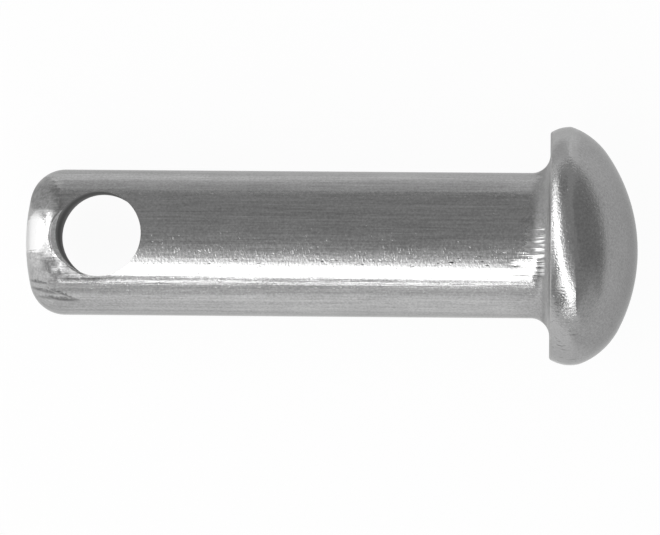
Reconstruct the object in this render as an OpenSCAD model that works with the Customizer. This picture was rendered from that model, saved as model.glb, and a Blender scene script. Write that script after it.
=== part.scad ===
// Rowel pin: a domed pin on which a spur's rowel turns, kept in its fork by a cotter.
// The pin lies along X with its head at +X, and the origin is the centre of the head's bearing face.

/* [Shank] */
// Diameter of the shank
shank_d = 4.76; // [4.2:0.02:5.4]
// Length from the bearing face to the end of the tip
shank_l = 17.15; // [14:0.05:26]
// Radius of the fillet between the shank and the head
neck_r = 0.6; // [0.3:0.05:0.8]

/* [Head] */
// Greatest diameter of the head
head_d = 7.82; // [7.4:0.02:9]
// Height of the dome above the bearing face, along the dome's own axis
head_h = 2.87; // [2.7:0.01:3.3]
// Height of the rim's widest belt above the bearing face
belt_h = 0.7; // [0.65:0.01:0.85]
// Radius of the rim's barrel section
rim_r = 1.3; // [1.15:0.01:1.5]
// Radius of the dome's shoulder, centred level with the bearing face
shoulder_r = 2.42; // [2.2:0.01:2.5]
// Reach of the shoulder's curve past the rim, where it meets the bearing face's level
dome_flare = 0.13; // [0.08:0.01:0.16]
// Angle by which the dome's axis leans from the pin's axis, towards +Y
dome_lean = 4; // [0:0.5:4.5]

/* [Tip] */
// Length over which the tip is rounded
tip_l = 1.3; // [1.22:0.01:1.6]
// Radius of the tip's rounded corner
tip_corner_r = 1.165; // [0.9:0.005:1.2]

/* [Cotter hole] */
// Diameter of the drilled hole
hole_d = 2.78; // [1.6:0.02:2.9]
// Distance from the end of the tip to the hole's axis
hole_from_tip = 2.46; // [2.3:0.02:4]
// Distance of the hole's axis from the shank's axis, towards +Y
hole_offset = 0.23; // [0:0.01:0.3]
// Width of the countersunk edge at the hole's two mouths, on the tip's side
hole_break = 0.24; // [0.1:0.01:0.3]
// Distance of the countersinks' axis from the hole's axis, towards the tip
sink_shift = 0.16; // [0.15:0.01:0.2]

/* [Hidden] */
$fn = 96;

shank_r = shank_d / 2;
hole_r = hole_d / 2;
hole_x = hole_from_tip - shank_l;
// How far the drill and its countersinks run past the shank on each side
drill_past = 0.5;
// How far the countersinks run on into the hole, past the edge that they break
sink_deep = 0.3;
// Radius of a countersink level with the inner edge of its cut
sink_r = hole_r - sink_shift;

// How many times over a sector's directions are taken, so that its straight sides pass its arc
sector_reach = 3;

// The tip's corner arc runs on into the crown arc that closes the end of the pin
tip_corner_c = [shank_r - tip_corner_r, tip_l - shank_l];
tip_crown_r = (pow(tip_corner_c.x, 2) + pow(tip_l, 2) - pow(tip_corner_r, 2)) / (2 * (tip_l - tip_corner_r));
tip_crown_c = [0, tip_crown_r - shank_l];
tip_join = tip_corner_c - tip_crown_c;

// The dome's shoulder arc runs on into the crown arc over the top of the head
shoulder_c = [head_d / 2 + dome_flare - shoulder_r, 0];
crown_r = (pow(head_h, 2) + pow(shoulder_c.x, 2) - pow(shoulder_r, 2)) / (2 * (head_h - shoulder_r));
crown_c = [0, head_h - crown_r];
crown_join = shoulder_c - crown_c;

// The rim's barrel reaches up to a level that is clear of its crease with the dome
rim_c = [head_d / 2 - rim_r, belt_h];
rim_top = belt_h + rim_r / 2;
// Radius that clears the whole head
clear_r = rim_c.x + 2 * rim_r;
// How far the dome's blank runs on below the bearing face before it is faced off
dome_skirt = 1;
// Turn of the dome about its own axis, which keeps its seam clear of the rim's seam
seam_turn = 90;

// Sector of a disc about c, between the directions from and to
module sector(r, c, from, to) {
    intersection() {
        translate(c) circle(r);
        polygon([c, c + sector_reach * from, c + sector_reach * (from + to), c + sector_reach * to]);
    }
}

// Half section of the rounded tip, as radius and distance along the pin
module tip_section() {
    sector(tip_crown_r, tip_crown_c, [0, -tip_crown_r], tip_join);
    sector(tip_corner_r, tip_corner_c, tip_join, [tip_corner_r, 0]);
}

// Half section of the straight shank, from the rounded tip to the bearing face
module shank_section() {
    translate([0, tip_corner_c.y]) square([shank_r, shank_l - tip_l]);
}

// Half section of the fillet under the head
module neck_section() {
    difference() {
        translate([shank_r, -neck_r]) square(neck_r);
        translate([shank_r + neck_r, -neck_r]) circle(neck_r);
    }
}

// Half section of the dome's blank, with a straight skirt below it
module dome_section() {
    sector(crown_r, crown_c, [0, crown_r], crown_join);
    sector(shoulder_r, shoulder_c, crown_join, [shoulder_r, 0]);
    translate([0, -dome_skirt]) square([shoulder_c.x + shoulder_r, dome_skirt]);
}

// Half section that the rim and the bearing face are turned to, open above the rim
module rim_section() {
    intersection() {
        translate(rim_c) circle(rim_r);
        square([clear_r, rim_top]);
    }
    square([rim_c.x, rim_top]);
    translate([0, rim_top]) square([clear_r, head_h]);
}

// Turns a half section about the pin's axis
module turned() {
    rotate([0, 90, 0]) rotate_extrude() children();
}

// The head: a dome that leans a little, with a rim and a bearing face that are true to the pin's axis
module head() {
    intersection() {
        rotate([seam_turn, 0, dome_lean]) turned() dome_section();
        turned() rim_section();
    }
}

// Drill for the cotter hole, with a cone at each mouth that breaks the edge on the tip's side
module cotter_drill() {
    sink_out = hole_break + drill_past;
    cylinder(r = hole_r, h = shank_d + 2 * drill_past, center = true);
    for (side = [0, 1])
        mirror([0, 0, side])
            translate([-sink_shift, 0, shank_r - hole_break - sink_deep])
                cylinder(r1 = sink_r - sink_deep, r2 = sink_r + sink_out, h = sink_deep + sink_out);
}

// The whole pin, headed, turned and drilled from one piece of steel
module rowel_pin() {
    color("silver")
        difference() {
            union() {
                turned() {
                    tip_section();
                    shank_section();
                    neck_section();
                }
                head();
            }
            translate([hole_x, hole_offset, 0]) cotter_drill();
        }
}

rowel_pin();
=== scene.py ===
import functools
import math
import bmesh
import bpy
from mathutils import Matrix, Vector


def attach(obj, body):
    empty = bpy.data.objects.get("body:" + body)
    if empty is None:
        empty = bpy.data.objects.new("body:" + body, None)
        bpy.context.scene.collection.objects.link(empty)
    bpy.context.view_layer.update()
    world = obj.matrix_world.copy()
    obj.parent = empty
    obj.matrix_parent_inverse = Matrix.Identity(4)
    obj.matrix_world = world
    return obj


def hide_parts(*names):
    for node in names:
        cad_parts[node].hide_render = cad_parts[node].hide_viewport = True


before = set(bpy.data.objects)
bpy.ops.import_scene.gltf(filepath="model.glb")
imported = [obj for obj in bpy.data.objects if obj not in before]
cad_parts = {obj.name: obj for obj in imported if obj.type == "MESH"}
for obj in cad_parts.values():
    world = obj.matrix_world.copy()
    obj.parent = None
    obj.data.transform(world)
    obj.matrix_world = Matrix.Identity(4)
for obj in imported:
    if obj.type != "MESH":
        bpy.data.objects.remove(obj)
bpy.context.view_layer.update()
mm = 0.001


# The pin, the same sizes as the solid, in millimetres and degrees
pin = {
    "shankRadius": 2.38,
    "shankLength": 17.15,
    "neckRadius": 0.6,
    "headRadius": 3.91,
    "headHeight": 2.87,
    "beltHeight": 0.7,
    "rimRadius": 1.3,
    "rimTopAngle": 30,  # where the rim's barrel stops, clear of its crease with the dome
    "shoulderRadius": 2.42,
    "domeFlare": 0.13,
    "domeLean": 4,
    "tipLength": 1.3,
    "tipCornerRadius": 1.165,
    "holeRadius": 1.39,
    "holeFromTip": 2.46,
    "holeOffset": 0.23,
    "holeBreak": 0.24,
    "sinkShift": 0.16,
    "sinkDeep": 0.3,
    "drillPast": 0.5,
    "seatEdge": 0.06,  # rounding of the bearing face's outer edge
    "seatEdgeSteps": 10,
    "around": 192,  # steps of the turning
    "rimSteps": 18,  # steps along each run of the outline
    "seatSteps": 4,
    "neckSteps": 20,
    "shankSteps": 30,
    "tipCornerSteps": 24,
    "tipCrownSteps": 12,
    "crownSteps": 24,
    "shoulderSteps": 36,
    "nearby": 1e-3,  # how close a vertex is to a place that it is at
    "turnMerge": 1e-4,  # how close two vertices are that become one
    "cutMerge": 2e-3,
    "creaseFrom": 0.3,  # where the crease between rim and dome is looked for
    "creaseTo": 1.3,
    "creaseOut": 3,
    "creaseBend": 0.12,  # least angle of its faces, in radians
    "creaseRings": 4,  # rings of vertices beside it that are eased, and how often
    "creasePasses": 2,
    "sharpAngle": 8,
}


def arcTo(bm, vert, centre, end, steps):  # turns a vertex about a centre until it points at end
    a = Vector((vert.co.x / mm - centre.x, vert.co.z / mm - centre.y))
    b = end - centre
    angle = math.atan2(a.x * b.y - a.y * b.x, a.dot(b))
    made = bmesh.ops.spin(bm, geom=[vert], cent=(centre.x * mm, 0, centre.y * mm), axis=(0, -1, 0),
                          angle=angle, steps=steps)
    return [g for g in made["geom_last"] if isinstance(g, bmesh.types.BMVert)][0]


def lineTo(bm, vert, x, z, steps=1):  # straight run of the outline
    step = (Vector((x * mm, 0, z * mm)) - vert.co) / steps
    for i in range(steps):
        vert = bmesh.ops.extrude_vert_indiv(bm, verts=[vert])["verts"][0]
        bmesh.ops.translate(bm, verts=[vert], vec=step)
    return vert


def turn(bm):  # turns the outline about the pin's axis
    bmesh.ops.spin(bm, geom=bm.verts[:] + bm.edges[:], cent=(0, 0, 0), axis=(1, 0, 0),
                   angle=math.tau, steps=pin["around"], use_merge=True)
    bmesh.ops.remove_doubles(bm, verts=bm.verts[:], dist=pin["turnMerge"] * mm)
    bmesh.ops.recalc_face_normals(bm, faces=bm.faces[:])


def ringsAt(bm, x, radius):  # edges that run round the pin at one place
    near = lambda v: (abs(v.co.x / mm - x) < pin["nearby"]
                      and abs(math.hypot(v.co.y, v.co.z) / mm - radius) < pin["nearby"])
    return [e for e in bm.edges if near(e.verts[0]) and near(e.verts[1])]


def toObject(bm, name):
    mesh = bpy.data.meshes.new(name)
    bm.to_mesh(mesh)
    bm.free()
    obj = bpy.data.objects.new(name, mesh)
    bpy.context.collection.objects.link(obj)
    return obj


def turnedBlank():  # tip, shank, fillet, bearing face and rim, with plain room above for the dome
    s = pin
    tipEnd = -s["shankLength"]
    blankTop = 2 * s["headHeight"]
    clear = s["headRadius"] + s["rimRadius"]
    rimC = Vector((s["beltHeight"], s["headRadius"] - s["rimRadius"]))
    rimAngle = math.radians(s["rimTopAngle"])
    rimTop = s["beltHeight"] + s["rimRadius"] * math.sin(rimAngle)
    cornerC = Vector((tipEnd + s["tipLength"], s["shankRadius"] - s["tipCornerRadius"]))
    crownRadius = ((cornerC.y ** 2 + s["tipLength"] ** 2 - s["tipCornerRadius"] ** 2)
                   / (2 * (s["tipLength"] - s["tipCornerRadius"])))
    crownC = Vector((tipEnd + crownRadius, 0))
    neckC = Vector((-s["neckRadius"], s["shankRadius"] + s["neckRadius"]))
    seatOut = rimC.y + math.sqrt(s["rimRadius"] ** 2 - s["beltHeight"] ** 2)
    bm = bmesh.new()
    v = bm.verts.new((blankTop * mm, 0, 0))
    v = lineTo(bm, v, blankTop, clear)
    v = lineTo(bm, v, rimTop, clear)
    v = lineTo(bm, v, rimTop, rimC.y + s["rimRadius"] * math.cos(rimAngle))
    v = arcTo(bm, v, rimC, Vector((0, seatOut)), s["rimSteps"])
    v = lineTo(bm, v, 0, neckC.y, s["seatSteps"])
    v = arcTo(bm, v, neckC, Vector((neckC.x, 0)), s["neckSteps"])
    v = lineTo(bm, v, cornerC.x, s["shankRadius"], s["shankSteps"])
    v = arcTo(bm, v, cornerC, 2 * cornerC - crownC, s["tipCornerSteps"])
    v = arcTo(bm, v, crownC, Vector((tipEnd, 0)), s["tipCrownSteps"])
    turn(bm)
    bmesh.ops.bevel(bm, geom=ringsAt(bm, 0, seatOut), offset=s["seatEdge"] * mm, offset_type="OFFSET",
                    affect="EDGES", segments=s["seatEdgeSteps"], profile=0.5, material=-1, clamp_overlap=True)
    return toObject(bm, "rowelPin")


def domeBlank():  # dome of two arcs on a skirt that holds the whole shank, leaning as in the photo
    s = pin
    shoulderC = Vector((0, s["headRadius"] + s["domeFlare"] - s["shoulderRadius"]))
    crownRadius = ((s["headHeight"] ** 2 + shoulderC.y ** 2 - s["shoulderRadius"] ** 2)
                   / (2 * (s["headHeight"] - s["shoulderRadius"])))
    crownC = Vector((s["headHeight"] - crownRadius, 0))
    skirtEnd = -s["shankLength"] - s["headHeight"]
    bm = bmesh.new()
    v = bm.verts.new((s["headHeight"] * mm, 0, 0))
    v = arcTo(bm, v, crownC, crownC + 2 * (shoulderC - crownC), s["crownSteps"])
    v = arcTo(bm, v, shoulderC, Vector((0, 2 * shoulderC.y)), s["shoulderSteps"])
    v = lineTo(bm, v, skirtEnd, shoulderC.y + s["shoulderRadius"])
    v = lineTo(bm, v, skirtEnd, 0)
    turn(bm)
    bmesh.ops.rotate(bm, verts=bm.verts[:], cent=(0, 0, 0),
                     matrix=Matrix.Rotation(math.radians(s["domeLean"]), 3, "Z"))
    return toObject(bm, "domeBlank")


def holePlace():
    return Vector((pin["holeFromTip"] - pin["shankLength"], pin["holeOffset"], 0))


def cotterDrill():
    s = pin
    bm = bmesh.new()
    bmesh.ops.create_cone(bm, cap_ends=True, segments=s["around"], radius1=s["holeRadius"] * mm,
                          radius2=s["holeRadius"] * mm, depth=2 * (s["shankRadius"] + s["drillPast"]) * mm)
    bmesh.ops.translate(bm, verts=bm.verts[:], vec=holePlace() * mm)
    return toObject(bm, "cotterDrill")


def countersink(side):  # cone that breaks a mouth's edge on the tip's side
    s = pin
    inner = s["shankRadius"] - s["holeBreak"] - s["sinkDeep"]
    outer = s["shankRadius"] + s["drillPast"]
    small = s["holeRadius"] - s["sinkShift"] - s["sinkDeep"]
    bm = bmesh.new()
    bmesh.ops.create_cone(bm, cap_ends=True, segments=s["around"], radius1=small * mm,
                          radius2=(small + outer - inner) * mm, depth=(outer - inner) * mm)
    bmesh.ops.translate(bm, verts=bm.verts[:], vec=(0, 0, (inner + outer) / 2 * mm))
    if side < 0:
        bmesh.ops.rotate(bm, verts=bm.verts[:], cent=(0, 0, 0), matrix=Matrix.Rotation(math.pi, 3, "X"))
    bmesh.ops.translate(bm, verts=bm.verts[:], vec=(holePlace() - Vector((s["sinkShift"], 0, 0))) * mm)
    return toObject(bm, "countersink")


def cut(obj, tool, operation):  # exact cut of one solid by another
    step = obj.modifiers.new(tool.name, "BOOLEAN")
    step.operation = operation
    step.solver = "EXACT"
    step.object = tool
    made = bpy.data.meshes.new_from_object(obj.evaluated_get(bpy.context.evaluated_depsgraph_get()))
    obj.modifiers.clear()
    obj.data = made
    bpy.data.objects.remove(tool)
    print(operation.lower(), "done:", len(made.polygons), "faces")


def easeCrease(obj):  # rounds the crease between the rim and the dome
    s = pin
    bm = bmesh.new()
    bm.from_mesh(obj.data)
    bmesh.ops.remove_doubles(bm, verts=bm.verts[:], dist=s["cutMerge"] * mm)
    onCrease = lambda e: (e.is_manifold and s["creaseFrom"] < e.verts[0].co.x / mm < s["creaseTo"]
                          and e.calc_face_angle() > s["creaseBend"]
                          and math.hypot(e.verts[0].co.y, e.verts[0].co.z) / mm > s["creaseOut"])
    rings = [{v for e in bm.edges if onCrease(e) for v in e.verts}]
    for i in range(s["creaseRings"]):
        rings.append(rings[-1] | {e.other_vert(v) for v in rings[-1] for e in v.link_edges})
    for ring in reversed(rings[1:]):
        for i in range(s["creasePasses"]):
            bmesh.ops.smooth_vert(bm, verts=list(ring), factor=0.5, use_axis_x=True, use_axis_y=True,
                                  use_axis_z=True)
    bmesh.ops.recalc_face_normals(bm, faces=bm.faces[:])
    bm.to_mesh(obj.data)
    bm.free()
    print("crease eased:", len(rings[-1]), "vertices")


def makePin():
    obj = turnedBlank()
    cut(obj, domeBlank(), "INTERSECT")
    easeCrease(obj)
    cut(obj, cotterDrill(), "DIFFERENCE")
    for side in (1, -1):
        cut(obj, countersink(side), "DIFFERENCE")
    obj.data.shade_smooth()
    obj.data.set_sharp_from_angle(angle=math.radians(pin["sharpAngle"]))
    return obj


# Steel of the pin, drawn bar tumbled to a satin grey; lengths in millimetres
steel = {
    "colour": 0.41,
    "edgeTint": (0.7, 0.7, 0.7, 1),  # keeps the turned-away edges grey
    "roughness": 0.17,
    "noises": {  # cells per millimetre along x, y and z, then seed, detail and roughness
        "band": ((0.06, 2.4, 2.4), 2.6, 2),  # drawn out along the pin
        "streak": ((0.22, 9, 9), 1.7, 3, 0.6),
        "hair": ((1.1, 30, 30), 4.2, 2),
        "comb": ((13, 6, 6), 7.9, 2, 0.6),  # short marks that run round the shank
        "grain": ((13, 13, 13), 3.1, 2, 0.6),
        "blotch": ((0.7, 0.9, 0.9), 9.4, 2),
        "ring": ((14, 0.8, 0.8), 6.6, 2),  # lines round the head
        "fleck": ((8, 8, 8), 8.3, 1),
        "tick": ((18, 7, 7), 2.9, 2),  # sparse marks round the shank
        "patch": ((2.2, 2.2, 2.2), 6.1, 1),  # where those marks are thick and thin
        "line": ((0.7, 13, 0), 5.2, 2, 0.6),  # level streaks beside the fillet and on the tip
        "sheen": ((1.1, 17, 0), 3.7, 2),
        "split": ((0.5, 9, 0), 8.8, 2, 0.6),  # grey streaks that split the light strip's end there
        "pit": ((4, 10, 0), 7.3, 1),  # dark pits along the upper side of the light strip
        "crack": ((1.8, 10, 10), 4.8, 2),  # short lines across the rim's lower side
        "tipLine": ((0.5, 11, 4), 5.5, 2, 0.6),
    },
    "steps": {  # soft steps along x, y or z, over a reach or over a noise: from, to, and values if not 0 and 1
        "headX": ((-0.05, 0.1),),
        "rimX": ((1.0, 0.85),),
        "lowRimY": ((-1.3, -1.7),),
        "headGrainX": ((1.0, 0.7, 0.28, 1),),
        "topX": ((1.0, 0.8, 1, 1.9),),
        "topY": ((0.5, 3.2),),
        "shankX": ((-0.35, -0.75),),
        "lowY": ((-0.82, -1.0),),  # the shank below its light strip, which is smoother
        "highY": ((1.78, 1.92),),
        "tipX": ((-15.6, -16.3),),
        "upperZ": ((0, 0.4),),  # the side that the photo shows
        "wallReach": ((1.398, 1.392),),  # from the hole's axis
        "coneReach": ((0.006, 0.003),),  # from the countersink's cone
        "lipReach": ((0.11, 0.08),),
        "lipY": ((0.95, 0.7), (-0.45, -0.25)),
        "lowEdgeReach": ((1.48, 1.44),),
        "lowEdgeX": ((-14.9, -15.3),),
        "lowEdgeY": ((-0.25, -0.5),),
        "fleck": ((0.17, 0.27),),
        "tick": ((0.07, 0.2),),
        "patch": ((-0.12, 0.16, 0.15, 1),),
        "tickY": ((-0.9, -0.6), (0.15, -0.35)),
        "combY": ((-1.05, -0.8),),
        "nearNeckX": ((-1.6, -0.6), (-0.1, -0.3)),
        "lowNeckY": ((-1.2, -1.6),),
        "lineY": ((0.7, 0.2),),
        "earlyY": ((-0.62, -0.25), (1.9, 1.1, 0.3, 1)),
        "dulledX": ((-0.34, -0.12),),
        "dulledY": ((-1.35, -1.1),),
        "neckX": ((-0.03, -0.25, -0.3, 1),),
        "neckY": ((1.9, 0.9, 0.4, 1),),
        "spreadX": ((-0.45, -0.1),),
        "spreadY": ((0, -0.4),),
        "sheenY": ((0.4, -0.95, -0.04, 0.1),),
        "glint": ((0.02, 0.12),),
        "glintX": ((-0.12, -0.22),),
        "glintY": ((-1.05, -0.95), (0.6, 0.4)),
        "split": ((-0.03, 0.07),),
        "splitX": ((-1.8, -0.7), (-0.15, -0.3)),
        "splitY": ((-1.12, -1.0), (-0.42, -0.55)),
        "highlightX": ((-16.28, -16.4),),
        "highlightY": ((-0.4, -0.33), (1.1, 0.65)),
        "highlightSlant": ((27.12, 26.95),),
        "stripShadeX": ((-14.1, -14.9), (-16.1, -15.75)),
        "stripShadeY": ((-0.4, -0.6), (-1.45, -1.25)),
        "pit": ((0.2, 0.26),),
        "pitX": ((-13, -12.5),),
        "pitY": ((-0.85, -0.72), (-0.4, -0.5)),
        "crack": ((0.12, 0.2),),
        "tipLineX": ((-15.7, -16.1),),
        "tipLineY": ((-0.75, -0.6), (-0.2, -0.27)),
    },
    "bandTone": 0.35,
    "streakTone": 0.6,
    "hairTone": 0.45,
    "grainTone": 0.75,
    "rimGrain": -0.45,  # change of the grain on the rim
    "blotchTone": 0.2,
    "highEdgeLight": 0.15,  # painted light, added along the shank's +Y edge
    "topLight": 0.11,  # painted light, added on the head's +Y side
    "lowRimTone": 0.92,
    # painted shade on the shank's lower side beside the head
    "lowNeckShade": 0.88,
    # painted shade on the fillet, which is also rougher
    "neckShadeTone": 0.7,
    "dulledEarly": 0.55,  # how far the rougher fillet with painted shade reaches over the shank
    "dulledLine": 0.7,
    "spreadLow": 0.75,  # how far the painted glints beside the fillet do
    "spreadSheen": 1.6,
    "splitTone": 0.18,
    "pitTone": 0.12,
    "crackTone": 0.6,
    "tipLineTone": 1.5,
    "mouthShade": 0.34,  # painted shade of the hole's wall, at its mouths and further inside
    "deepShade": 0.085,
    "wallDepth": (0.2, 2.0),
    "wallTopLight": 1.5,  # painted light: times that, on the wall's +Y side and at its upper mouth
    "upperMouthLight": 1.9,
    "mouthDepth": (0, 1.8),
    # painted light: the countersink's cone is made lighter
    "coneLight": 2.1,
    "lipShadeTone": 0.3,  # painted shade: dark line along the hole's edge, on the tip's side
    "raggedStreak": 0.25,  # how the noises fray the edges of the painted highlight and of the rougher patch with painted shade
    "raggedGrain": 0.12,
    "aroundRagged": 0.4,
    "aroundLine": 0.35,
    "highlightTone": 0.92,  # painted highlight: bright patch beside the hole
    "highlightSlope": -1.55,
    "dullShadeTone": 0.68,  # rougher patch above it, its darker colour painted shade; spots are centre, half sizes, turn in degrees and softness
    "dullSpot": (-16.5, 1.5, 0.54, 0.58, 0, 0.12),
    "dullCorner": (-16.25, 1.12, 0.28, 0.2, 0, 0.2),
    "tipLightSpots": ((0.22, (-16.75, -0.55, 0.5, 0.3, 0, 0.5)), (1.1, (-16.35, -0.38, 0.12, 0.2, 0, 0.5)),
              (0.45, (-16.2, -1.12, 0.2, 0.18, 0, 0.5))),  # painted light: lighter places on the tip, level with the strip
    "stripShadeTone": 0.42,  # painted shade over the shank's light strip, where it passes the hole
    "stripShadeSpot": (-16.05, -0.7, 0.17, 0.2, 0, 0.35),
    "gapSpot": (-15.4, -1.165, 1.0, 0.06, 0, 0.4),  # where that painted shade leaves light, between it and the thin line
    "markTone": 0.5,  # scrapes on the tip's lower side
    "markRagged": 0.12,
    "marks": ((-16.49, -1.62, 0.5, 0.05, -15, 0.5), (-16.0, -1.88, 0.62, 0.06, -6, 0.5),
              (-15.9, -1.72, 0.48, 0.035, -21, 0.5), (-16.7, -1.34, 0.36, 0.04, -11, 0.5)),
    "grainRough": 0.16,
    "streakRough": 0.12,
    "neckRough": 0.4,
    "headRough": 0.04,
    "rimRough": -0.08,
    "holeRough": 0.4,
    "tipRough": 0.05,
    "dullRough": 0.3,
    "lowRough": -0.05,
    "streakHeight": 0.0016,
    "lowStreak": 2,  # change of the streaks and of the grain below the light strip
    "lowGrain": -0.65,
    "lineHeight": 0.01,
    "hairHeight": 0.0006,
    "combHeight": 0.0036,
    "tickHeight": 0.0036,
    "grainHeight": 0.0017,
    "headGrainHeight": 0.007,
    "blotchHeight": 0.006,
    "ringHeight": 0.003,
    "fleckHeight": -0.0035,
}


def addNode(tree, kind, **values):
    n = tree.nodes.new(kind)
    for name, value in values.items():
        setattr(n, name, value)
    return n


def feed(tree, socket, value):  # a number is set, a socket is linked
    if isinstance(value, bpy.types.NodeSocket):
        tree.links.new(value, socket)
    else:
        socket.default_value = value


def calc(tree, operation, *values, clamp=False):
    n = addNode(tree, "ShaderNodeMath", operation=operation, use_clamp=clamp)
    for i, value in enumerate(values):
        feed(tree, n.inputs[i], value)
    return n.outputs[0]


def ramp(tree, value, low, high, start=0, stop=1):  # soft step from start at low to stop at high
    n = addNode(tree, "ShaderNodeMapRange", interpolation_type="SMOOTHSTEP")
    for i, v in enumerate((value, low, high, start, stop)):
        feed(tree, n.inputs[i], v)
    return n.outputs[0]


def noise(tree, place, cells, seed, detail=2, rough=0.5):  # noise about zero
    moved = addNode(tree, "ShaderNodeVectorMath", operation="MULTIPLY_ADD")
    feed(tree, moved.inputs[0], place)
    moved.inputs[1].default_value = cells
    moved.inputs[2].default_value = (seed, 2.3 * seed, 5.1 * seed)  # another part of the noise for each seed
    n = addNode(tree, "ShaderNodeTexNoise", noise_dimensions="3D")
    feed(tree, n.inputs["Vector"], moved.outputs[0])
    n.inputs["Scale"].default_value = 1
    n.inputs["Detail"].default_value = detail
    n.inputs["Roughness"].default_value = rough
    return calc(tree, "SUBTRACT", n.outputs["Fac"], 0.5)


def blend(tree, parts):  # sum of weight times value
    total = 0.0
    for weight, value in parts:
        total = calc(tree, "MULTIPLY_ADD", value, weight, total)
    return total


def length(tree, u, v):
    return calc(tree, "SQRT", calc(tree, "MULTIPLY_ADD", u, u, calc(tree, "MULTIPLY", v, v)))


def spot(tree, x, y, place):  # soft ellipse seen from above: centre, half sizes, turn in degrees and softness
    cx, cy, rx, ry, angle, edge = place
    c, s = math.cos(math.radians(angle)), math.sin(math.radians(angle))
    u = calc(tree, "MULTIPLY_ADD", x, c / rx, calc(tree, "MULTIPLY_ADD", y, s / rx, -(cx * c + cy * s) / rx))
    v = calc(tree, "MULTIPLY_ADD", x, -s / ry, calc(tree, "MULTIPLY_ADD", y, c / ry, (cx * s - cy * c) / ry))
    return ramp(tree, length(tree, u, v), 1 + edge, 1 - edge)


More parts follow.
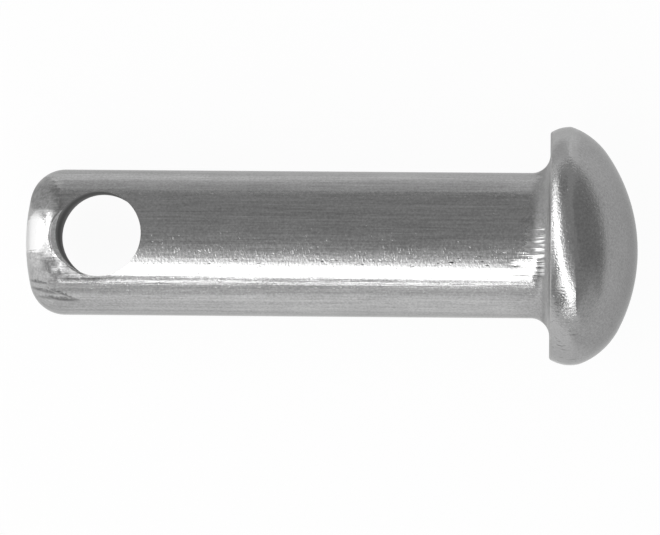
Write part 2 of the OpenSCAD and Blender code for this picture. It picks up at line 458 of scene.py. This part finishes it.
def steelMaterial():
    s = steel
    mat = bpy.data.materials.new("drawnSteel")
    mat.use_nodes = True
    tree = mat.node_tree
    bsdf = tree.nodes["Principled BSDF"]
    bsdf.inputs["Metallic"].default_value = 1
    bsdf.inputs["Specular Tint"].default_value = s["edgeTint"]
    coords = addNode(tree, "ShaderNodeTexCoord")
    place = addNode(tree, "ShaderNodeVectorMath", operation="SCALE")
    feed(tree, place.inputs[0], coords.outputs["Object"])
    place.inputs["Scale"].default_value = 1 / mm
    place = place.outputs[0]
    axes = addNode(tree, "ShaderNodeSeparateXYZ")
    feed(tree, axes.inputs[0], place)
    x, y, z = axes.outputs

    times = lambda *values: functools.reduce(lambda a, b: calc(tree, "MULTIPLY", a, b), values)
    most = lambda *values: functools.reduce(lambda a, b: calc(tree, "MAXIMUM", a, b), values)
    without = lambda value: calc(tree, "SUBTRACT", 1, value)
    scaled = lambda value, weight: calc(tree, "MULTIPLY_ADD", value, weight, 1)  # 1 plus weight times value
    step = lambda value, name: times(*[ramp(tree, value, *r) for r in s["steps"][name]])
    texture = lambda name: noise(tree, place, *s["noises"][name])

    head = step(x, "headX")
    rim = times(head, step(x, "rimX"))
    lowRim = times(rim, step(y, "lowRimY"))
    nearNeck = step(x, "nearNeckX")
    shank = step(x, "shankX")
    low = times(shank, step(y, "lowY"))
    tip = step(x, "tipX")
    upper = step(z, "upperZ")

    # The hole: its wall and countersink, which get painted shade and light, and the painted dark line along its
    # edge
    holeAcross = calc(tree, "SUBTRACT", y, pin["holeOffset"])
    reach = length(tree, calc(tree, "SUBTRACT", x, holePlace().x), holeAcross)
    sinkReach = length(tree, calc(tree, "SUBTRACT", x, holePlace().x - pin["sinkShift"]), holeAcross)
    sinkDrop = pin["shankRadius"] - pin["holeBreak"] - pin["holeRadius"] + pin["sinkShift"]
    depth = calc(tree, "ABSOLUTE", z)
    fromCone = calc(tree, "ADD", calc(tree, "SUBTRACT", sinkReach, depth), sinkDrop)
    wall = step(reach, "wallReach")
    hole = most(wall, step(fromCone, "coneReach"))
    onShank = times(shank, without(hole))
    # painted shade: a dark line along the hole's edge, on the tip's side
    lowEdgeShade = times(step(reach, "lowEdgeReach"), step(y, "lowEdgeY"), step(x, "lowEdgeX"))
    lipShade = times(most(times(step(fromCone, "lipReach"), step(y, "lipY")), lowEdgeShade), upper, without(hole))

    band = texture("band")
    streak = texture("streak")
    hair = texture("hair")
    comb = texture("comb")
    grain = texture("grain")
    blotch = texture("blotch")
    ring = texture("ring")
    line = texture("line")
    sheen = texture("sheen")
    fleck = step(texture("fleck"), "fleck")
    tick = times(step(texture("tick"), "tick"), step(texture("patch"), "patch"))
    crack = times(step(texture("crack"), "crack"), lowRim)
    pit = times(step(texture("pit"), "pit"), step(y, "pitY"), step(x, "pitX"), onShank)
    tipLine = times(step(y, "tipLineY"), step(x, "tipLineX"), upper, texture("tipLine"))

    # Beside the fillet: its rougher band with painted shade, the painted glints on it and the streaks that
    # split the light strip
    dulled = blend(tree, [(1, x), (s["dulledEarly"], step(y, "earlyY")),
                          (s["dulledLine"], times(line, step(y, "dulledY")))])
    neckDullAndShade = calc(tree, "SUBTRACT", step(dulled, "dulledX"), head, clamp=True)
    spread = blend(tree, [(1, x), (s["spreadLow"], step(y, "spreadY")), (s["spreadSheen"], sheen)])
    # painted glints beside the fillet
    glint = times(step(spread, "spreadX"), step(x, "glintX"), step(y, "glintY"),
                  step(calc(tree, "ADD", sheen, step(y, "sheenY")), "glint"), upper)
    split = times(step(texture("split"), "split"), step(x, "splitX"), step(y, "splitY"), upper)

    # The tip's painted highlight, its rougher patch with painted shade, its painted lighter places, painted
    # shade over the light strip and scraped places, with frayed edges
    ragged = blend(tree, [(s["raggedStreak"], streak), (s["raggedGrain"], grain)])
    along = calc(tree, "ADD", x, ragged)
    around = blend(tree, [(1, y), (s["aroundRagged"], ragged), (s["aroundLine"], line)])
    slant = calc(tree, "MULTIPLY_ADD", x, s["highlightSlope"], around)
    tipHighlight = times(step(around, "highlightY"), step(slant, "highlightSlant"), step(along, "highlightX"), upper)
    dullAndShade = times(most(*[spot(tree, along, around, s[name]) for name in ("dullSpot", "dullCorner")]), upper)
    tipLights = times(blend(tree, [(share, spot(tree, along, around, m)) for share, m in s["tipLightSpots"]]), upper)
    stripShade = times(step(x, "stripShadeX"), step(y, "stripShadeY"), upper, without(spot(tree, x, y, s["gapSpot"])))
    stripShade = times(most(stripShade, spot(tree, x, around, s["stripShadeSpot"])), onShank)
    frayed = calc(tree, "MULTIPLY_ADD", grain, s["markRagged"], y)
    mark = times(most(*[spot(tree, x, frayed, m) for m in s["marks"]]), upper)

    tone = blend(tree, [
        (s["bandTone"], times(band, onShank)),
        (s["streakTone"], times(streak, onShank)),
        (s["hairTone"], times(hair, onShank)),
        (s["grainTone"], times(grain, scaled(rim, s["rimGrain"]))),
        # painted light along the shank's +Y edge
        (s["highEdgeLight"], times(onShank, step(y, "highY"))),
        (s["blotchTone"], blotch),
        # painted shade on the fillet
        (s["neckShadeTone"] - 1, times(neckDullAndShade, step(y, "neckY"), step(x, "neckX"))),
        (s["tipLineTone"], tipLine),
        (s["markTone"] - 1, mark),
        (s["pitTone"] - 1, pit),
        (s["splitTone"] - 1, split),
        # painted shade on the rougher patch of the tip
        (s["dullShadeTone"] - 1, dullAndShade),
        # painted light on the tip
        (1, tipLights),
        # painted shade over the light strip by the hole
        (s["stripShadeTone"] - 1, stripShade),
        (s["lowRimTone"] - 1, lowRim),
        # painted light on the head's +Y side
        (s["topLight"], times(head, step(y, "topY"), step(x, "topX"))),
        # painted shade on the shank's lower side beside the head
        (s["lowNeckShade"] - 1, times(nearNeck, step(y, "lowNeckY"))),
        (s["crackTone"] - 1, crack),
    ])
    tone = times(calc(tree, "ADD", tone, 1), s["colour"])
    # painted shade on the hole's wall, darker further in, with painted light on its +Y side and at its upper
    # mouth
    wallShade = times(ramp(tree, depth, *s["wallDepth"], s["deepShade"], s["mouthShade"]),
                 ramp(tree, holeAcross, 0, pin["holeRadius"], 1, s["wallTopLight"]),
                 ramp(tree, z, *s["mouthDepth"], 1, s["upperMouthLight"]))
    # painted light on the countersink's cone
    drilled = calc(tree, "MULTIPLY_ADD", wall, calc(tree, "SUBTRACT", wallShade, s["coneLight"]), s["coneLight"])
    tone = times(tone, scaled(hole, calc(tree, "SUBTRACT", drilled, 1)), scaled(lipShade, s["lipShadeTone"] - 1))
    # painted highlight beside the hole and painted glints beside the fillet
    bright = most(times(tipHighlight, without(hole), without(lipShade)), glint)
    tone = calc(tree, "MULTIPLY_ADD", bright, calc(tree, "SUBTRACT", s["highlightTone"], tone), tone)
    colour = addNode(tree, "ShaderNodeCombineColor")
    for channel in colour.inputs:
        feed(tree, channel, tone)
    feed(tree, bsdf.inputs["Base Color"], colour.outputs[0])

    rough = blend(tree, [
        (s["grainRough"], grain),
        (s["streakRough"], times(streak, onShank)),
        (s["neckRough"], neckDullAndShade),
        (s["headRough"], head),
        (s["rimRough"], rim),
        (s["holeRough"], hole),
        (s["tipRough"], tip),
        (s["dullRough"], dullAndShade),
        (s["lowRough"], low),
    ])
    feed(tree, bsdf.inputs["Roughness"], calc(tree, "ADD", rough, s["roughness"], clamp=True))

    height = blend(tree, [
        (s["streakHeight"], times(streak, onShank, scaled(low, s["lowStreak"]))),
        (s["lineHeight"], times(line, nearNeck, step(y, "lineY"))),
        (s["hairHeight"], times(hair, onShank)),
        (s["combHeight"], times(comb, onShank, step(y, "combY"))),
        (s["tickHeight"], times(tick, onShank, step(y, "tickY"))),
        (s["grainHeight"], times(grain, scaled(low, s["lowGrain"]))),
        (s["headGrainHeight"], times(grain, head, step(x, "headGrainX"))),
        (s["blotchHeight"], blotch),
        (s["ringHeight"], times(ring, head)),
        (s["fleckHeight"], fleck),
    ])
    bump = addNode(tree, "ShaderNodeBump")
    bump.inputs["Strength"].default_value = 1
    bump.inputs["Distance"].default_value = mm
    feed(tree, bump.inputs["Height"], height)
    feed(tree, bsdf.inputs["Normal"], bump.outputs[0])
    print("steel made:", len(tree.nodes), "nodes")
    return mat


rowelPin = makePin()
rowelPin.data.materials.clear()
rowelPin.data.materials.append(steelMaterial())
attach(rowelPin, "root")
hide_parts("rowel_pin")


# The studio: pale floor that the pin lies on, by its rim and the edge of its tip
studio = {
    "floorColour": (0.9, 0.9, 0.9),
    "floorRadius": 1.5,
    "floorSteps": 96,
    "floorGap": 0.01,  # millimetres under the pin
    "cameraWhite": 0.95,  # share of the floor that shows as plain white
    "glossWhite": 0.8,
    "back": 0.88,  # painted light and shade on the floor as the steel shows it: behind the pin, in front of it and far behind it
    "front": 1.08,
    "frontX": (5, 0),  # soft edges of these places, in millimetres
    "frontY": (4, -4),
    "frontTip": 0.3,  # share of the front that is left past the tip
    "frontTipX": (-19, -15),
    "far": 0.5,
    "farX": (2, -3),
    "farY": (9, 12),
    "left": 1.1,  # beyond the tip, and beyond the head
    "leftX": (-18, -19),
    "right": 0.7,
    "rightX": (2, 6),
    "room": 0.385,
    "panelReach": 0.3,  # distance of the light panels
    "panelAcross": 12,  # steps across a panel and along it
    "panelAlong": 24,
    "taperRun": 0.5,  # share of a panel's length over which it widens, and the light past that edge
    "taperEdge": (-0.01, 0.02),
    "taperLight": 0.15,
}


def pinFloor():
    s = pin
    rimC = Vector((s["beltHeight"], -(s["headRadius"] - s["rimRadius"])))
    tipC = Vector((-s["shankLength"] + s["tipLength"], -(s["shankRadius"] - s["tipCornerRadius"])))
    slope = math.atan2(tipC.y - rimC.y, rimC.x - tipC.x)
    drop = s["rimRadius"] + studio["floorGap"]
    bm = bmesh.new()
    bmesh.ops.create_circle(bm, cap_ends=True, radius=studio["floorRadius"], segments=studio["floorSteps"])
    bmesh.ops.translate(bm, verts=bm.verts[:], vec=(0, 0, -drop * mm))
    bmesh.ops.rotate(bm, verts=bm.verts[:], cent=(0, 0, 0), matrix=Matrix.Rotation(slope, 3, "Y"))
    bmesh.ops.translate(bm, verts=bm.verts[:], vec=(rimC.x * mm, 0, rimC.y * mm))
    obj = toObject(bm, "floor")
    mat = bpy.data.materials.new("floorPaper")
    mat.use_nodes = True
    tree = mat.node_tree
    tree.nodes.clear()
    out = addNode(tree, "ShaderNodeOutputMaterial")
    mix = addNode(tree, "ShaderNodeMixShader")
    paper = addNode(tree, "ShaderNodeBsdfDiffuse")
    paper.inputs["Color"].default_value = (*studio["floorColour"], 1)
    white = addNode(tree, "ShaderNodeEmission")
    path = addNode(tree, "ShaderNodeLightPath")
    seen = path.outputs["Is Camera Ray"]
    gloss = calc(tree, "MAXIMUM", path.outputs["Is Glossy Ray"], path.outputs["Is Transmission Ray"])
    share = blend(tree, [(studio["cameraWhite"], seen), (studio["glossWhite"], gloss)])
    coords = addNode(tree, "ShaderNodeTexCoord")
    axes = addNode(tree, "ShaderNodeSeparateXYZ")
    feed(tree, axes.inputs[0], coords.outputs["Object"])
    x, y, z = axes.outputs
    edge = lambda value, name, *ends: ramp(tree, value, *[v * mm for v in studio[name]], *ends)
    front = calc(tree, "MULTIPLY", edge(y, "frontY"), edge(x, "frontX"))
    front = calc(tree, "MULTIPLY", front, edge(x, "frontTipX", studio["frontTip"], 1))
    far = calc(tree, "MULTIPLY", edge(y, "farY"), edge(x, "farX"))
    places = (("front", front), ("far", far), ("left", edge(x, "leftX")), ("right", edge(x, "rightX")))
    # painted light and shade: the floor as the steel shows it glows brighter in front and beyond the tip,
    # darker behind the pin and beyond the head
    light = blend(tree, [(studio[name] - studio["back"], mask) for name, mask in places])
    light = calc(tree, "ADD", light, studio["back"])
    light = calc(tree, "MULTIPLY_ADD", seen, calc(tree, "SUBTRACT", 1, light), light)
    feed(tree, white.inputs["Strength"], light)
    feed(tree, mix.inputs[0], share)
    feed(tree, mix.inputs[1], paper.outputs[0])
    feed(tree, mix.inputs[2], white.outputs[0])
    feed(tree, out.inputs["Surface"], mix.outputs[0])
    obj.data.materials.append(mat)


# Light panels: strips bent about the pin from one direction to another; low and high are their edges in
# degrees off that path, and stops are places across the strip from low to high, each with its light;
# fade is where the light comes up along the path and its share before that, and taper narrows its start
panels = [
    {"name": "keyStrip", "start": (-0.63, 0.765, 0.13), "end": (0.14, -0.81, 0.57), "low": -9.3, "high": 32,
     "reach": 1, "fade": (0.02, 0.32, 0.45), "taper": 0.12,
     "stops": ((0, 4), (0.3, 4), (0.4, 1.8), (0.54, 0.86), (0.73, 0.58), (1, 0.385))},
    {"name": "thinStrip", "start": (-0.35, -0.86, 0.38), "end": (0.3, -0.88, 0.38), "low": -0.9, "high": 0.9,
     "reach": 0.96, "stops": ((0, 5.2), (1, 5.2))},
    {"name": "frontFill", "start": (-1, -0.02, 0.06), "end": (0.5, -0.86, 0.1), "low": -10, "high": 10,
     "reach": 1.04, "stops": ((0, 0.84), (1, 0.84))},
    {"name": "gapFill", "start": (-0.3, -0.87, 0.4), "end": (0.3, -0.87, 0.4), "low": -11, "high": 9,
     "reach": 1.04, "stops": ((0, 0.9), (1, 0.9))},
    {"name": "rightFill", "start": (0.48, -0.86, 0.16), "end": (0.88, -0.46, 0.08), "low": -12, "high": 12,
     "reach": 1.06, "stops": ((0, 0.58), (1, 0.58))},
    {"name": "leftPanel", "start": (-1, -0.03, 0.12), "end": (-0.93, 0.35, 0.12), "low": -14, "high": 18,
     "reach": 1.02, "stops": ((0, 3), (1, 3))},
    {"name": "leftUpper", "start": (-0.8, -0.05, 0.62), "end": (-0.75, 0.27, 0.62), "low": -15, "high": 13,
     "reach": 1.03, "stops": ((0, 1.2), (1, 1.2))},
    {"name": "leftFront", "start": (-0.78, -0.4, 0.5), "end": (-0.86, -0.06, 0.5), "low": -20, "high": 20,
     "reach": 1.05, "stops": ((0, 0.75), (1, 0.75))},
    {"name": "neckFill", "start": (-0.66, -0.56, 0.5), "end": (-0.33, -0.6, 0.73), "low": -7, "high": 7,
     "reach": 0.98, "fade": (0, 1, 0.3), "stops": ((0, 2.6), (1, 2.6))},
    {"name": "darkCard", "start": (0.93, -0.3, 0.4), "end": (0.5, 0.8, 0.45), "low": -22, "high": 22,
     "reach": 1.1, "stops": ((0, 0.29), (1, 0.29))},
]


def bentPanel(p):
    reach = studio["panelReach"] * p["reach"]
    a = Vector(p["start"]).normalized()
    b = Vector(p["end"]).normalized()
    axis = a.cross(b).normalized()
    run = a.angle(b)
    low, high = math.radians(p["low"]), math.radians(p["high"])
    bm = bmesh.new()
    first = bm.verts.new(reach * (math.cos(low) * a + math.sin(low) * axis))
    bmesh.ops.spin(bm, geom=[first], cent=(0, 0, 0), axis=a.cross(axis), angle=high - low,
                   steps=studio["panelAcross"])
    bmesh.ops.spin(bm, geom=bm.verts[:] + bm.edges[:], cent=(0, 0, 0), axis=axis, angle=run,
                   steps=studio["panelAlong"])
    bmesh.ops.recalc_face_normals(bm, faces=bm.faces[:])
    obj = toObject(bm, p["name"])
    mat = bpy.data.materials.new(p["name"])
    mat.use_nodes = True
    tree = mat.node_tree
    tree.nodes.clear()
    out = addNode(tree, "ShaderNodeOutputMaterial")
    glow = addNode(tree, "ShaderNodeEmission")
    coords = addNode(tree, "ShaderNodeTexCoord")

    def towards(way):  # how far a place on the panel lies in one direction
        n = addNode(tree, "ShaderNodeVectorMath", operation="DOT_PRODUCT")
        feed(tree, n.inputs[0], coords.outputs["Object"])
        n.inputs[1].default_value = way
        return n.outputs["Value"]

    across = calc(tree, "ARCSINE", calc(tree, "DIVIDE", towards(axis), reach))
    across = calc(tree, "DIVIDE", calc(tree, "SUBTRACT", across, low), high - low)
    along = calc(tree, "ARCTAN2", towards(axis.cross(a)), towards(a))
    light = p["stops"][0][1]
    for (t0, l0), (t1, l1) in zip(p["stops"], p["stops"][1:]):
        if l0 != l1:
            light = calc(tree, "ADD", light, ramp(tree, across, t0, t1, 0, l1 - l0))
    if "fade" in p:
        t0, t1, share = p["fade"]
        light = calc(tree, "MULTIPLY", light, ramp(tree, along, t0 * run, t1 * run, share, 1))
    if "taper" in p:
        edge = ramp(tree, along, 0, studio["taperRun"] * run, p["taper"], 0)
        inside = ramp(tree, calc(tree, "SUBTRACT", across, edge), *studio["taperEdge"], studio["taperLight"], 1)
        light = calc(tree, "MULTIPLY", light, inside)
    feed(tree, glow.inputs["Strength"], light)
    feed(tree, out.inputs["Surface"], glow.outputs[0])
    obj.data.materials.append(mat)
    obj.visible_camera = False


def studioRoom():  # grey to the steel, white to the camera
    world = bpy.data.worlds.new("studioRoom")
    world.use_nodes = True
    tree = world.node_tree
    path = addNode(tree, "ShaderNodeLightPath")
    light = calc(tree, "MULTIPLY_ADD", path.outputs["Is Camera Ray"], 1 - studio["room"], studio["room"])
    tree.nodes["Background"].inputs["Color"].default_value = (1, 1, 1, 1)
    feed(tree, tree.nodes["Background"].inputs["Strength"], light)
    bpy.context.scene.world = world


pinFloor()
for p in panels:
    bentPanel(p)
studioRoom()
print("studio set:", len(panels), "panels")

# The camera looks straight down on the pin, a little from the front and the head's side
shot = {
    "place": (0, -9.5, 300),  # millimetres
    "aim": (-7.19, -0.765, 0),
    "roll": 0.436,
    "lens": 500.1,
    "sensor": 36,
    "near": 0.01,  # metres
    "far": 5,
}
cameraData = bpy.data.cameras.new("pinCamera")
cameraData.lens = shot["lens"]
cameraData.sensor_width = shot["sensor"]
cameraData.clip_start = shot["near"]
cameraData.clip_end = shot["far"]
camera = bpy.data.objects.new("pinCamera", cameraData)
bpy.context.collection.objects.link(camera)
camera.location = Vector(shot["place"]) * mm
back = (Vector(shot["place"]) - Vector(shot["aim"])).normalized()
up = back.cross(Vector((1, 0, 0))).normalized()  # the pin runs across the picture
level = Matrix((up.cross(back), up, back)).transposed()
camera.rotation_euler = (level @ Matrix.Rotation(math.radians(shot["roll"]), 3, "Z")).to_euler()
bpy.context.scene.camera = camera
bpy.context.scene.view_settings.view_transform = "Standard"
print("camera set")
